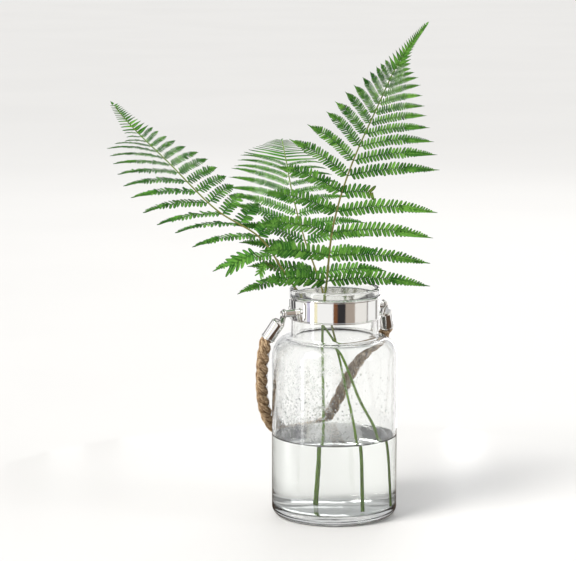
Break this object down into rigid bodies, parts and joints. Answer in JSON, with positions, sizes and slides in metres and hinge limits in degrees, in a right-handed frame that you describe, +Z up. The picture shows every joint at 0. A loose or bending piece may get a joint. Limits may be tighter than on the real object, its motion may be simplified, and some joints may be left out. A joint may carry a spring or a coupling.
{
  "type": "fern in a glass vase",
  "caption": "Cut fern fronds standing in water in a shouldered clear glass jar vase with a polished metal neck band and a hinged rope handle.",
  "frame": {"origin": "centre of the jar's flat underside, on the surface it stands on", "axes": "+Z up, +X to the right and +Y to the back as the pictured side is seen; the handle's pivot line is turned 30 degrees from +X towards +Y"},
  "size_m": [0.396, 0.2139, 0.5963],
  "materials": {
    "clear_glass": "clear, polished",
    "water": "clear liquid",
    "polished_metal": "polished",
    "jute_rope": "rough twisted jute",
    "green_stalk": "smooth, fresh",
    "fern_leaf": "satin leaf"
  },
  "bodies": {
    "vase_and_plant": {"back_frond_leaflets_01": "fern_leaf", "back_frond_leaflets_02": "fern_leaf", "back_frond_leaflets_03": "fern_leaf", "back_frond_leaflets_04": "fern_leaf", "back_frond_leaflets_05": "fern_leaf", "back_frond_leaflets_06": "fern_leaf", "back_frond_leaflets_07": "fern_leaf", "back_frond_leaflets_08": "fern_leaf", "back_frond_leaflets_09": "fern_leaf", "back_frond_leaflets_10": "fern_leaf", "back_frond_leaflets_11": "fern_leaf", "back_frond_stalk": "green_stalk", "back_frond_tip": "fern_leaf", "glass_jar": "clear_glass", "left_frond_bare_leaflet_01": "fern_leaf", "left_frond_bare_leaflet_02": "fern_leaf", "left_frond_leaflets_01": "fern_leaf", "left_frond_leaflets_02": "fern_leaf", "left_frond_leaflets_03": "fern_leaf", "left_frond_leaflets_04": "fern_leaf", "left_frond_leaflets_05": "fern_leaf", "left_frond_leaflets_06": "fern_leaf", "left_frond_leaflets_07": "fern_leaf", "left_frond_leaflets_08": "fern_leaf", "left_frond_leaflets_09": "fern_leaf", "left_frond_leaflets_10": "fern_leaf", "left_frond_leaflets_11": "fern_leaf", "left_frond_leaflets_12": "fern_leaf", "left_frond_stalk": "green_stalk", "left_frond_tip": "fern_leaf", "lug_left": "polished_metal", "lug_right": "polished_metal", "neck_band": "polished_metal", "pivot_pin_left": "polished_metal", "pivot_pin_right": "polished_metal", "rivet_left_back": "polished_metal", "rivet_left_front": "polished_metal", "rivet_right_back": "polished_metal", "rivet_right_front": "polished_metal", "tall_frond_leaflets_01": "fern_leaf", "tall_frond_leaflets_02": "fern_leaf", "tall_frond_leaflets_03": "fern_leaf", "tall_frond_leaflets_04": "fern_leaf", "tall_frond_leaflets_05": "fern_leaf", "tall_frond_leaflets_06": "fern_leaf", "tall_frond_leaflets_07": "fern_leaf", "tall_frond_leaflets_08": "fern_leaf", "tall_frond_leaflets_09": "fern_leaf", "tall_frond_leaflets_10": "fern_leaf", "tall_frond_leaflets_11": "fern_leaf", "tall_frond_leaflets_12": "fern_leaf", "tall_frond_leaflets_13": "fern_leaf", "tall_frond_stalk": "green_stalk", "tall_frond_tip": "fern_leaf", "water": "water"},
    "handle": {"ferrule_left": "polished_metal", "ferrule_right": "polished_metal", "rope_handle": "jute_rope"}
  },
  "joints": [
    {"name": "handle_swing", "type": "hinge", "parent": "vase_and_plant", "child": "handle", "pos_m": [0, 0, 0.251], "axis": [0.866, 0.5, 0], "range_deg": [0, 85]}
  ]
}
